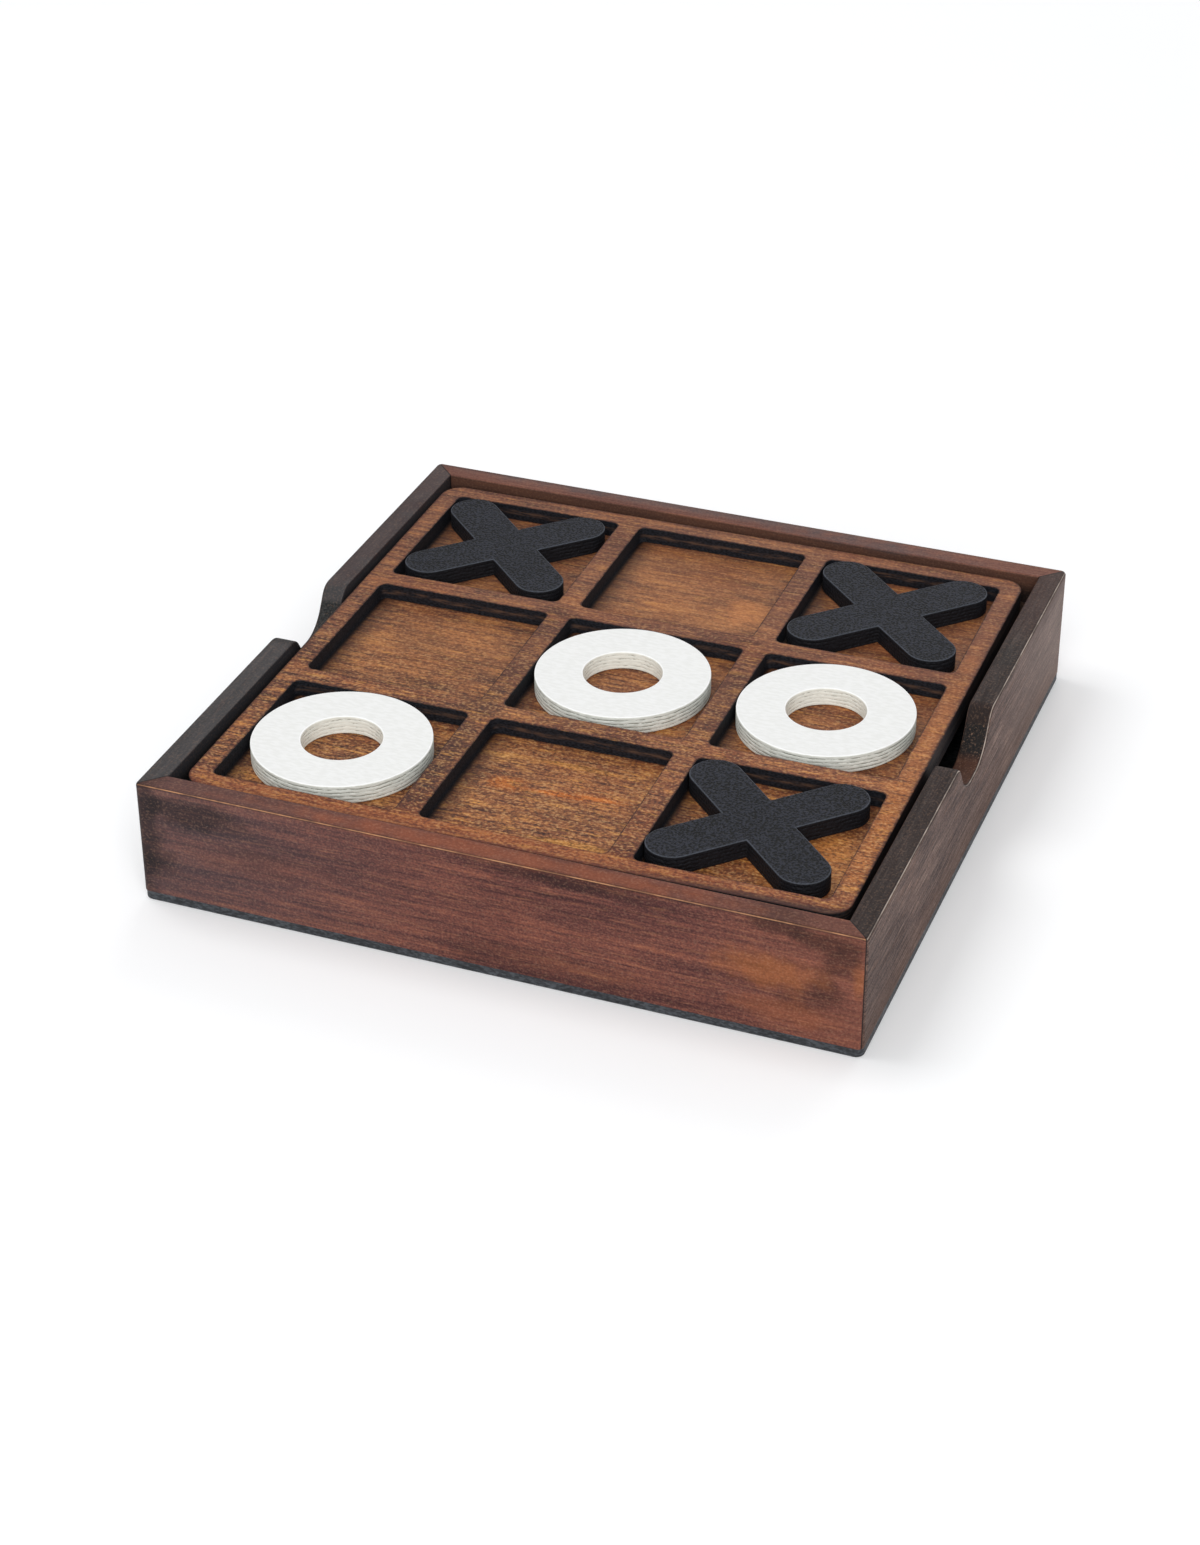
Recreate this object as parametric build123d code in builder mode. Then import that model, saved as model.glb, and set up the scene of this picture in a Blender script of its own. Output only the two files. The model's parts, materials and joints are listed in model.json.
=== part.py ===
"""A tic-tac-toe board with its pieces, in a tray that stores the spare ones underneath.

The tray is four mitred walls on a thin base plate, with a post in each inside corner.
The playing board is a plate with nine cut-outs glued to a floor plate, and it lies loose on
the posts. Rings and crosses lie in the nine pockets, and the spare ones lie in the well below.

Origin: centre of the base plate's underside. +X is right, +Y is back, +Z is up. Millimetres.
"""
from build123d import *
import os
from math import sqrt

os.makedirs("parts", exist_ok=True)

# The playing board
pocket_side = 49.5        # each square pocket, wall to wall
bar_width = 6.5           # wood left between two pockets
border_width = 5.75       # wood left between the outer pockets and the board's edge
pocket_corner = 2.0       # radius of a pocket's corners
board_corner = 6.0        # radius of the board's corners
grid_thick = 4.5          # the plate with the cut-outs, so the depth of a pocket
floor_thick = 2.5         # the plate that closes the pockets from below
board_ease = 0.25         # broken edges of both plates
board_right = -0.33       # how far the loose board has slid in its gap
board_back = -0.12
board_turn = 0.5          # and how far it lies turned, in degrees anticlockwise

# The playing pieces
piece_clearance = 1.45    # between a centred piece and each wall of its pocket
piece_thick = 5.2         # the pieces stand a little above the board
piece_ease = 0.35         # sanded edges under the paint
ring_bore = 21.0          # hole through a ring
arm_width = 13.6          # width of a cross's arms, which end in half rounds

# The tray
wall_thick = 6.4
board_gap = 2.1           # between the board's edge and each wall
board_drop = 1.6          # the board's face below the tray's rim
well_height = 23.2        # free height under the board
base_thick = 2.5
base_corner = 2.2         # radius of the base plate's corners
base_ease = 0.4           # broken lower edge of the base plate
corner_round = 1.6        # radius of the walls' upright corners
rim_round = 0.9           # radius of the rim's outer edge
rim_ease = 0.5            # radius of the rim's inner edge
post_side = 14.0          # square posts that carry the board
post_ease = 1.0           # broken corner of a post, on the side of the well

# The finger scoops in the left and right walls
scoop_level = 4.0         # level stretch at the bottom
scoop_hollow = 11.0       # radius at either end of it
scoop_flank = 4.45        # straight stretch of each flank
scoop_shoulder = 5.0      # radius where a flank meets the rim
scoop_slope = 58.0        # slope of the flanks, in degrees

# Sizes that follow
pitch = pocket_side + bar_width
board_side = 3 * pocket_side + 2 * bar_width + 2 * border_width
well_side = board_side + 2 * board_gap
tray_side = well_side + 2 * wall_thick
floor_bottom = base_thick + well_height
grid_bottom = floor_bottom + floor_thick
board_top = grid_bottom + grid_thick
rim_height = board_top + board_drop
piece_span = pocket_side - 2 * piece_clearance
arm_reach = (piece_span - arm_width) / 2        # from a cross's middle to the centre of an arm's end
arm_length = 2 * arm_reach * sqrt(2) + arm_width

# Where each played piece lies: its column and row from the middle pocket, then how far it has
# slid to the right and to the back, as shares of the clearance
played_rings = {
    "ring_front_left": (-1, -1, -0.44, 0.70),
    "ring_centre": (0, 0, -0.65, 0.55),
    "ring_middle_right": (1, 0, -0.80, 0.86),
}
played_crosses = {
    "cross_back_left": (-1, 1, -0.40, 0.40),
    "cross_back_right": (1, 1, -0.50, 0.86),
    "cross_front_right": (1, -1, -0.86, 0.86),
}

# The spare pieces lie flat on the base plate, in a square about its centre
spare_rings = {"ring_spare_front": (-0.5, -0.5), "ring_spare_back": (-0.5, 0.5)}
spare_crosses = {"cross_spare_front": (0.5, -0.5), "cross_spare_back": (0.5, 0.5)}


def save(part, name):
    """Labels a finished piece and writes its STEP file."""
    part.label = name
    export_step(part, f"parts/{name}.step")


# Base plate
with BuildPart() as base_plate:
    with BuildSketch():
        RectangleRounded(tray_side, tray_side, base_corner)
    extrude(amount=base_thick)
    fillet(base_plate.faces().sort_by(Axis.Z)[0].edges(), base_ease)
save(base_plate.part, "base_plate")

# The four walls are shaped as one frame, rounded and scooped together, and then parted at
# the mitres, so that the rounded rim runs on unbroken from wall to wall
with BuildSketch() as scoop:
    with BuildLine():
        level = Line((0, 0), (scoop_level / 2, 0))
        hollow = JernArc(level @ 1, level % 1, scoop_hollow, scoop_slope)
        flank = PolarLine(hollow @ 1, scoop_flank, direction=hollow % 1)
        shoulder = JernArc(flank @ 1, flank % 1, scoop_shoulder, -scoop_slope)
        scoop_width = 2 * (shoulder @ 1).X
        scoop_depth = (shoulder @ 1).Y
        Polyline(shoulder @ 1, (scoop_width / 2, 2 * scoop_depth), (0, 2 * scoop_depth), (0, 0))
    make_face()
    mirror(about=Plane.YZ)


def edge_at(x, y, z):
    """The frame's edge that runs through this point."""
    return frame.edges().sort_by_distance((x, y, z))[0]


with BuildPart() as frame:
    with BuildSketch(Plane.XY.offset(base_thick)):
        RectangleRounded(tray_side, tray_side, corner_round)
        Rectangle(well_side, well_side, mode=Mode.SUBTRACT)
    extrude(amount=rim_height - base_thick)
    with BuildSketch(Plane.YZ):
        with Locations((0, rim_height - scoop_depth)):
            add(scoop.sketch)
    extrude(amount=tray_side, both=True, mode=Mode.SUBTRACT)
    # Both roundings follow the rim through the scoops, whose edges join it without a corner
    inner = well_side / 2
    fillet(edge_at(0, -tray_side / 2, rim_height), rim_round)
    front_and_back = [edge_at(0, y, rim_height) for y in (-inner, inner)]
    left_and_right = [edge_at(x, 0, rim_height - scoop_depth) for x in (-inner, inner)]
    fillet(front_and_back + left_and_right, rim_ease)

for side, turn in {"front": 0, "right": 90, "back": 180, "left": 270}.items():
    with BuildPart() as tray_wall:
        add(frame.part)
        with BuildSketch():
            wedge = [(0, 0), (-tray_side, -tray_side), (tray_side, -tray_side)]
            Polygon(*wedge, rotation=turn, align=None)
        extrude(amount=rim_height, mode=Mode.INTERSECT)
    save(tray_wall.part, f"tray_wall_{side}")

# Corner posts: the board lies loose on their tops
for row, back in {"front": -1, "back": 1}.items():
    for column, right in {"left": -1, "right": 1}.items():
        post_centre = (well_side - post_side) / 2
        with BuildPart() as corner_post:
            with BuildSketch(Plane.XY.offset(base_thick)):
                with Locations((right * post_centre, back * post_centre)):
                    Rectangle(post_side, post_side)
            extrude(amount=well_height)
            inner_edge = corner_post.edges().filter_by(Axis.Z).sort_by_distance((0, 0, base_thick))[0]
            chamfer(inner_edge, post_ease)
        save(corner_post.part, f"corner_post_{row}_{column}")

# Playing board: floor plate and grid plate, glued face to face
board_lie = Location((board_right, board_back, 0), board_turn)
with BuildPart() as board_floor:
    with BuildSketch(Plane.XY.offset(floor_bottom)):
        with Locations(board_lie):
            RectangleRounded(board_side, board_side, board_corner)
    extrude(amount=floor_thick)
    fillet(board_floor.faces().filter_by(Axis.Z).edges(), board_ease)
save(board_floor.part, "board_floor")

with BuildPart() as board_grid:
    with BuildSketch(Plane.XY.offset(grid_bottom)):
        with Locations(board_lie):
            RectangleRounded(board_side, board_side, board_corner)
            with GridLocations(pitch, pitch, 3, 3):
                RectangleRounded(pocket_side, pocket_side, pocket_corner, mode=Mode.SUBTRACT)
    extrude(amount=grid_thick)
    fillet(board_grid.faces().sort_by(Axis.Z)[-1].edges(), board_ease)
save(board_grid.part, "board_grid")


def make_ring(name, place, z):
    """A ring that lies flat, with its middle at a place and its underside at z."""
    with BuildPart() as ring:
        with BuildSketch(Plane.XY.offset(z)):
            with Locations(place):
                Circle(piece_span / 2)
                Circle(ring_bore / 2, mode=Mode.SUBTRACT)
        extrude(amount=piece_thick)
        fillet(ring.edges().filter_by(GeomType.CIRCLE), piece_ease)
    save(ring.part, name)


def make_cross(name, place, z):
    """A cross that lies flat: two crossed bars with half-round ends."""
    with BuildPart() as cross:
        with BuildSketch(Plane.XY.offset(z)):
            with Locations(place):
                SlotOverall(arm_length, arm_width, rotation=45)
                SlotOverall(arm_length, arm_width, rotation=-45)
        extrude(amount=piece_thick)
        fillet(cross.faces().filter_by(Axis.Z).edges(), piece_ease)
    save(cross.part, name)


def in_pocket(column, row, right, back):
    """The place of a piece in its pocket, on the board as it lies."""
    return board_lie * Pos(column * pitch + right * piece_clearance, row * pitch + back * piece_clearance)


# Played pieces, on the floor of their pockets
for name, lie in played_rings.items():
    make_ring(name, in_pocket(*lie), grid_bottom)
for name, lie in played_crosses.items():
    make_cross(name, in_pocket(*lie), grid_bottom)

# Spare pieces, on the base plate
for name, (column, row) in spare_rings.items():
    make_ring(name, Pos(column * pitch, row * pitch), base_thick)
for name, (column, row) in spare_crosses.items():
    make_cross(name, Pos(column * pitch, row * pitch), base_thick)
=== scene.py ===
# %% [markdown]
# # A tic-tac-toe board in stained wood
# The game is a lift-out board in a shallow tray, with rings and crosses in its nine pockets.
# The imported model fixes every size, so it is loaded first.

# %% Load the frame
import json
import math

import bpy
from mathutils import Matrix, Vector


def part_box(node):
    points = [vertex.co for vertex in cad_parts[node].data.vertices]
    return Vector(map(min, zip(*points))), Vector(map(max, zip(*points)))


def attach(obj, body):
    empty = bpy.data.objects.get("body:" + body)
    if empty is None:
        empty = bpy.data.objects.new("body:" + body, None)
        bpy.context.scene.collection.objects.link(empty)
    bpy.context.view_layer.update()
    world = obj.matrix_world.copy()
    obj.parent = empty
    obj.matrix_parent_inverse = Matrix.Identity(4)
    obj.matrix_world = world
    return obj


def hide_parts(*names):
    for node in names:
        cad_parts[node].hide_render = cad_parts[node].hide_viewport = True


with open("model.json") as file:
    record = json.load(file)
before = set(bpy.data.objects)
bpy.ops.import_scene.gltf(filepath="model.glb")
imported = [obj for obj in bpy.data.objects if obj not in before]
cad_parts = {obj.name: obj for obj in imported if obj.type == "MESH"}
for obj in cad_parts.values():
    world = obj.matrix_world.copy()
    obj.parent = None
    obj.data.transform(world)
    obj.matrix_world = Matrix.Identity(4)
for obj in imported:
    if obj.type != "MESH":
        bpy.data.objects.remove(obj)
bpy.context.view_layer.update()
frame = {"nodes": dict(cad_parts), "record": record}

# %% [markdown]
# Colours are written as sRGB hex values, the way a colour picker shows them, but shaders work in
# linear light. One function turns every colour in the scene.


# %% Colours
def linear(hex_colour):
    """An sRGB hex value as a linear colour with alpha."""
    channels = [int(hex_colour[i:i + 2], 16) / 255 for i in (1, 3, 5)]
    return [c / 12.92 if c <= 0.04045 else ((c + 0.055) / 1.055) ** 2.4 for c in channels] + [1.0]


print("mid grey #808080 is", round(linear("#808080")[0], 3), "in linear light")

# %% [markdown]
# Both a material and a Geometry Nodes group are a tree of nodes. This one helper adds a node of
# any kind, sets its options, fills its sockets, and hands back one of its outputs, to be linked
# to the next node. Most nodes here are shader nodes, so those words are left off their names,
# and what a Math node does is written after its name.
#
# A Map Range node with a smooth step turns up again and again, to make a mask. Its five values
# are the input, where the fade starts and ends, and what it fades from and to, and the last two
# are 0 and 1 unless they are given.

# %% The node helper
usual = {"MapRange": {"interpolation_type": "SMOOTHSTEP"}, "TexNoise": {"noise_dimensions": "4D"}}


def add(tree, kind, *values, take=0, stops=None, **options):
    """Adds a node, fills its sockets, and gives back one of its outputs.

    Values fill the sockets in order, and a dict fills sockets by their name or number. A value
    is a number, a text, a hex colour, or the output of another node, which is linked.
    """
    kind, _, operation = kind.partition(" ")
    if operation:
        options["operation"] = operation
    node = tree.nodes.new(kind if "Node" in kind else "ShaderNode" + kind)
    for option, setting in {**usual.get(kind, {}), **options}.items():
        setattr(node, option, setting)
    for number, value in enumerate(values):
        filled = value if isinstance(value, dict) else {number: value}
        for socket, content in filled.items():
            if isinstance(content, bpy.types.NodeSocket):
                tree.links.new(content, node.inputs[socket])
            elif isinstance(content, str) and content.startswith("#"):
                node.inputs[socket].default_value = linear(content)
            else:
                node.inputs[socket].default_value = content
    if stops:
        stops = list(stops)
        band = node.color_ramp.elements
        while len(band) < len(stops):
            band.new(0.5)
        for element, (position, colour) in zip(band, stops):
            element.position = position
            element.color = linear(colour)
    return node.outputs[take] if node.outputs else node


print("kinds with their own usual options:", ", ".join(usual))

# %% [markdown]
# A finish is built up as on the real wood, coat over coat. Each coat is a colour and the masks
# that say where it took. It takes only where all its masks do, so they are multiplied. A mask
# may be a fade, written as the values of a Map Range node. A Mix node keeps its factor in
# socket 0, its two colours in sockets 6 and 7, and its result in output 2.


# %% Coats of colour
def lay(tree, under, colour, *masks, blend="MIX"):
    """Lays a colour over another by the product of masks: links, numbers, or fades as tuples."""
    amount = None
    for mask in masks:
        if isinstance(mask, tuple):
            mask = add(tree, "MapRange", *mask)
        amount = mask if amount is None else add(tree, "Math MULTIPLY", amount, mask)
    return add(tree, "Mix", {0: amount, 6: under, 7: colour}, take=2, data_type="RGBA", blend_type=blend)


print("coats can be laid")

# %% [markdown]
# Wood is all about scale: a fleck is as thin as a millimetre, a smudge of stain is as broad as a
# thumb. So patterns are made in millimetres. Object coordinates come in metres, and multiplying
# them by a thousand gives the place on the object in millimetres, the same from every side.


# %% Patterns in millimetres
def new_tree(name):
    """An empty material, its node tree, and the place on the object in millimetres."""
    material = bpy.data.materials.new(name)
    material.use_nodes = True
    tree = material.node_tree
    tree.nodes.clear()
    metres = add(tree, "TexCoord", take="Object")
    mm = add(tree, "VectorMath SCALE", metres, {"Scale": 1000.0})
    return material, tree, mm


def flecks(tree, mm, size, seed=0.0, detail=2.0, wander=0.0):
    """Soft noise from 0 to 1 whose marks are about size millimetres long in x, y and z."""
    scaled = add(tree, "VectorMath MULTIPLY", mm, [1 / length for length in size])
    return add(tree, "TexNoise",
               {"Vector": scaled, "W": seed, "Scale": 1.0, "Detail": detail, "Roughness": 0.55,
                "Distortion": wander})


def crisp(tree, mm, size, seed=0.0, detail=0.0):
    """Noise with hard contrast: nearly black and nearly white marks in equal number."""
    return add(tree, "MapRange", flecks(tree, mm, size, seed, detail), 0.34, 0.66)


def layered(tree, *parts):
    """Adds noises up by their weights, so that the sum stays centred on a half."""
    total = 0.5 - sum(weight for _, weight in parts) / 2
    for noise, weight in parts:
        total = add(tree, "Math MULTIPLY_ADD", noise, weight, total)
    return total


print("noise can be made at any size in millimetres")

# %% [markdown]
# Three kinds of mark turn up in every wood here. Specks are pores and dust, fibres are thin
# lines along the grain, and stains are ragged patches with a place of their own. Specks and
# fibres both come from one noise: dark where it is low, and pale where it is high.


# %% Specks, fibres and stains
def two_toned(tree, colour, noise, amount, *shades):
    """Lays shades by a noise, each given as colour, where it starts and is full, and strength."""
    for shade, starts, full, strength in shades:
        colour = lay(tree, colour, shade, (noise, starts, full, 0.0, strength), amount)
    return colour


def peppered(tree, colour, mm, size, seed, amount, pale="#e6b87c"):
    """Pale and dark specks, drawn a little coarser than real pores, so that a picture of the
    whole board still shows them."""
    noise = flecks(tree, mm, size, seed, 1.0)
    return two_toned(tree, colour, noise, amount, ("#14151b", 0.49, 0.33, 0.6), (pale, 0.52, 0.68, 0.3))


def fibred(tree, colour, mm, size, seed, amount, pale, dark):
    """Thin pale and dark lines along the grain, broken where the fibres dive under."""
    noise = flecks(tree, mm, size, seed, 2.0)
    return two_toned(tree, colour, noise, amount, (dark, 0.45, 0.3, 0.55), (pale, 0.55, 0.7, 0.4))


def spot(tree, mm, centre, radii, ragged):
    """A ragged stain: 1 at its centre, and 0 outside an ellipsoid of the given radii."""
    offset = add(tree, "VectorMath SUBTRACT", mm, centre)
    offset = add(tree, "VectorMath MULTIPLY", offset, [1 / radius for radius in radii])
    far = add(tree, "VectorMath LENGTH", offset, take="Value")
    # The noise, centred on zero, pushes the edge out and in
    nearer = add(tree, "Math SUBTRACT", far, 0.65)
    far = add(tree, "Math MULTIPLY_ADD", ragged, 1.3, nearer)
    return add(tree, "MapRange", far, 0.35, 1.15, 1.0, 0.0)


def stained(tree, colour, mm, ragged, spots, blend="MIX"):
    """Lays ragged spots of stain and painted shadow over a colour: centre, radii, strength, colour."""
    for centre, radii, strength, shade in spots:
        colour = lay(tree, colour, shade, spot(tree, mm, centre, radii, ragged), strength, blend=blend)
    return colour


print("specks, fibres and stains can be laid")

# %% [markdown]
# Every surface of this game is dry: rubbed stain or matt paint, with little gloss and a shallow
# relief. So all of them end in the same shader, with their own colour, relief and roughness.


# %% The dry shader
def finish_dry(tree, colour, height, roughness, gloss, depth=0.12):
    """Ends a material with a dry surface, whose relief is depth millimetres deep."""
    relief = add(tree, "Bump", {"Height": height, "Strength": 0.6, "Distance": depth / 1000})
    shader = add(tree, "BsdfPrincipled", {"Base Color": colour, "Normal": relief, "Roughness": roughness,
                                          "Specular IOR Level": gloss})
    add(tree, "OutputMaterial", {"Surface": shader})


print("the dry shader is ready")

# %% [markdown]
# The camera is solved from the box's own edges, and it is given here as an azimuth, an elevation
# and a distance from a point on the object. Azimuth 0 looks along +Y.

# %% Camera
picture_height = 1545          # pixels on the photograph's long side
focal_pixels = 3127.2          # focal length in those pixels
camera_azimuth = math.radians(21.12)
camera_elevation = math.radians(32.17)
camera_roll = -0.0038
camera_distance = 0.8160
aim = Vector((0.0004, -0.0206, 0.0150))


def from_side(azimuth, elevation):
    """The direction from the object to something at an azimuth and an elevation, in radians."""
    return Vector((
        math.sin(azimuth) * math.cos(elevation),
        -math.cos(azimuth) * math.cos(elevation),
        math.sin(elevation),
    ))


camera = bpy.data.objects.new("camera", bpy.data.cameras.new("camera"))
bpy.context.scene.collection.objects.link(camera)
towards_camera = from_side(camera_azimuth, camera_elevation)
level = (-towards_camera).to_track_quat("-Z", "Y").to_matrix().to_4x4()
camera.matrix_world = (Matrix.Translation(aim + towards_camera * camera_distance) @ level
                       @ Matrix.Rotation(camera_roll, 4, "Z"))
camera.data.sensor_width = 36
camera.data.lens = focal_pixels * camera.data.sensor_width / picture_height
camera.data.clip_start = 0.05
camera.data.clip_end = 50
bpy.context.scene.camera = camera
bpy.context.scene.view_settings.view_transform = "Standard"
print("lens", round(camera.data.lens, 2), "mm")

# %% [markdown]
# The studio is a white paper sweep. Paper is matt through and through, so it has full roughness
# and no gloss, and only its whiteness counts: it is almost white, and the light does the rest.

# %% Paper sweep
sweep_half = 6.0               # metres, far past the picture's edges
corners = [(-sweep_half, -sweep_half, 0), (sweep_half, -sweep_half, 0),
           (sweep_half, sweep_half, 0), (-sweep_half, sweep_half, 0)]
sweep = bpy.data.meshes.new("sweep")
sweep.from_pydata(corners, [], [(0, 1, 2, 3)])
floor = bpy.data.objects.new("sweep", sweep)
bpy.context.scene.collection.objects.link(floor)
paper = bpy.data.materials.new("white paper")
paper.use_nodes = True
paper.node_tree.nodes.clear()
matte = add(paper.node_tree, "BsdfPrincipled",
            {"Base Color": "#fafafa", "Roughness": 1.0, "Specular IOR Level": 0.0})
add(paper.node_tree, "OutputMaterial", {"Surface": matte})
sweep.materials.append(paper)
print("paper sweep,", 2 * sweep_half, "m wide")

# %% [markdown]
# The key light stands high on the left, so the box throws a short soft shadow to its right and
# the left walls of the pockets shade their floors. A large soft window behind the camera lights
# what faces the front, such as the cut sides of the rings. A weaker light from behind grazes the
# tops, which brings out their grain, and it leaves a faint shadow in front of the box. A pale,
# slightly blue sky fills what is left.


# %% Lights and sky
def soft_light(name, direction, distance, size, watts):
    """A square area light that looks at the box from an azimuth and an elevation in degrees."""
    place = from_side(*(math.radians(angle) for angle in direction)) * distance
    light = bpy.data.lights.new(name, "AREA")
    light.size = size
    light.energy = watts
    lamp = bpy.data.objects.new(name, light)
    bpy.context.scene.collection.objects.link(lamp)
    lamp.location = place
    lamp.rotation_euler = (-place).to_track_quat("-Z", "Y").to_euler()


soft_light("key", (270, 64), distance=1.5, size=0.8, watts=6.9)
soft_light("window", (21, 37), distance=2.0, size=1.4, watts=23.5)
soft_light("rim", (180, 32), distance=2.0, size=1.4, watts=9.6)

world = bpy.data.worlds.new("studio")
bpy.context.scene.world = world
world.use_nodes = True
world.node_tree.nodes.clear()
sky = add(world.node_tree, "Background", {"Color": "#fafcff", "Strength": 0.475})
add(world.node_tree, "OutputWorld", {"Surface": sky})

# %% [markdown]
# The playing board is birch plywood, laser-cut and stained brown. Birch has no bold figure: it
# shows short gold and dark flecks along the grain, over slow drifts of darker stain. Each is one
# noise, stretched along the grain, and they are added up, to be coloured by one ramp. The board
# lies half a degree askew in its tray, so its patterns are turned with it.

# %% Grain of birch
board_turn = math.radians(0.5)
board_lie = {"Location": (-0.33, -0.12, 0.0), "Rotation": (0.0, 0.0, board_turn)}


def on_board(tree, mm):
    """The place in millimetres on the board itself, before it was laid askew."""
    return add(tree, "Mapping", {"Vector": mm, **board_lie}, vector_type="TEXTURE")


def birch_tone(tree, mm, seed):
    """How light the stained veneer is, 0 to 1, with its grain along x."""
    drift = flecks(tree, mm, (34, 13, 13), seed + 1, 2.0)
    streaks = flecks(tree, mm, (13, 1.1, 1.1), seed + 3, 2.0, 0.3)
    short = flecks(tree, mm, (3.6, 0.8, 0.8), seed + 4, 2.0)
    speck = crisp(tree, mm, (0.7, 0.6, 0.6), seed + 5)
    return layered(tree, (drift, 0.65), (streaks, 1.0), (short, 0.4), (speck, 0.1))


print("birch has drifts, streaks, short flecks and specks")

# %% [markdown]
# The laser left its marks beside every cut, so the material must know where the cuts are. All
# nine pockets are one rounded square that repeats: wrapping the place on the board by the pitch
# brings every pocket to the origin. There the distance to the square is worked out as for any
# rounded box. The board's own outline is such a square too, but it doesn't repeat.

# %% Distance from a cut
pocket_pitch = 56.0            # mm from one pocket to the next
pocket_half = 24.75
pocket_corner = 2.0
board_half = 86.5
board_corner = 6.0
pocket_outline = (pocket_pitch, pocket_half, pocket_corner)
board_outline = (None, board_half, board_corner)


def wrapped(tree, mm, pitch):
    """The place from the middle of the nearest pocket."""
    return add(tree, "VectorMath WRAP", mm, [pitch / 2] * 3, [-pitch / 2] * 3)


def off_outline(tree, mm, pitch, half_side, corner):
    """Distance in mm outside a rounded square, which repeats if it has a pitch."""
    place = wrapped(tree, mm, pitch) if pitch else mm
    place = add(tree, "VectorMath ABSOLUTE", place)
    inset = half_side - corner
    # Height doesn't count, so far more than any height is taken off it
    place = add(tree, "VectorMath SUBTRACT", place, [inset, inset, 1000.0])
    place = add(tree, "VectorMath MAXIMUM", place, [0.0, 0.0, 0.0])
    length = add(tree, "VectorMath LENGTH", place, take="Value")
    return add(tree, "Math SUBTRACT", length, corner)


print("pockets repeat every", pocket_pitch, "mm")

# %% [markdown]
# On the faces, the laser left a thin dotted dark line along each cut, with a redder margin beside
# it. On the floor the dark line runs along the foot of each pocket wall, and there it is painted
# contact shade. The cut edges themselves are charred: soot black, with a broken brown streak at
# mid height where the heat was least. The streak is painted faint on edges that don't face the
# front, as painted shade. The board's outer edge was sanded after cutting, so its plies show.


# %% Burn marks, painted contact shade and charred edges
def burn_marks_and_contact_shade(tree, face, mm, seed):
    """Lays marks beside the pockets and the board's outline: burns, and on the floor painted contact
    shade.
    """
    dotted = flecks(tree, mm, (1.6, 1.6, 3), seed + 13, 2.0)
    for outline, reach in ((pocket_outline, 0.55), (board_outline, 0.7)):
        off_cut = add(tree, "Math ABSOLUTE", off_outline(tree, mm, *outline))
        face = lay(tree, face, "#170f0f", (off_cut, 0.2, reach, 0.85, 0.0),
                   (dotted, 0.36, 0.56, 0.35, 1.0))
        face = lay(tree, face, "#4a2419", (off_cut, 0.3, 2.4, 0.2, 0.0))
    return face


def charred_edge(tree, mm, normal, middle_ply, seed):
    """The colour of a cut edge, with its streak about the height of the middle ply."""
    waver = flecks(tree, mm, (9, 9, 60), seed + 6, 2.0)
    height = add(tree, "SeparateXYZ", mm, take="Z")
    height = add(tree, "Math SUBTRACT", height, middle_ply)
    height = add(tree, "Math SUBTRACT", height, 0.9)
    height = add(tree, "Math MULTIPLY_ADD", waver, 1.8, height)
    height = add(tree, "Math ABSOLUTE", height)
    gaps = flecks(tree, mm, (5, 5, 0.7), seed + 7, 4.0)
    forward = add(tree, "Math MULTIPLY", normal["Y"], -1.0)
    charred = lay(tree, "#101217", "#24262c", crisp(tree, mm, (0.8, 0.8, 0.35), seed + 11))
    # The walls that face the front show the streak; on the others it is painted faint, as painted shade
    charred = lay(tree, charred, "#5d4639", (height, 0.2, 1.0, 1.0, 0.0), (gaps, 0.38, 0.66),
                  (forward, 0.3, 0.9, 0.06, 0.85))
    plies = flecks(tree, mm, (22, 22, 0.7), seed + 15, 1.0)
    sanded = lay(tree, "#0e0a09", "#5a4334", (plies, 0.42, 0.6))
    return lay(tree, charred, sanded, (off_outline(tree, mm, *board_outline), -1.0, -0.5, 0.0, 0.28))


print("burn marks reach 0.55 mm beside a pocket")

# %% [markdown]
# The faces get their coats in the order in which the real one got them: the grain, the stain that
# took warmer towards the front right, the stains with a place of their own and the painted shadows
# beside the rings, the fibres and pores that stayed pale or filled up, the burn marks, and at last
# the borders and the painted shade along the pocket walls. The grain stands out most at the front.


# %% Faces of the board
def birch_face(tree, mm, seed, tone, stops, spots, ragged):
    """The colour of the board's faces, but for what the laser and wear left at the edges."""
    place = add(tree, "SeparateXYZ", mm).node.outputs
    face = add(tree, "ValToRGB", tone, stops=stops)
    front_right = add(tree, "Math SUBTRACT", place["X"], place["Y"])
    front_right = add(tree, "MapRange", front_right, -90, 140, 0.0, 0.22)
    patches = flecks(tree, mm, (26, 10, 10), seed + 8, 1.0)
    patches = add(tree, "MapRange", patches, 0.46, 0.78, 0.0, 0.22)
    face = lay(tree, face, "#8f4512", add(tree, "Math ADD", patches, front_right))
    face = stained(tree, face, mm, ragged, spots)
    front_most = add(tree, "MapRange", place["Y"], -75, 60, 1.0, 0.42)
    face = fibred(tree, face, mm, (7, 0.85, 0.85), seed + 16, front_most, "#eda951", "#1d1718")
    return peppered(tree, face, mm, (0.9, 0.65, 0.65), seed + 9, front_most)


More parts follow.
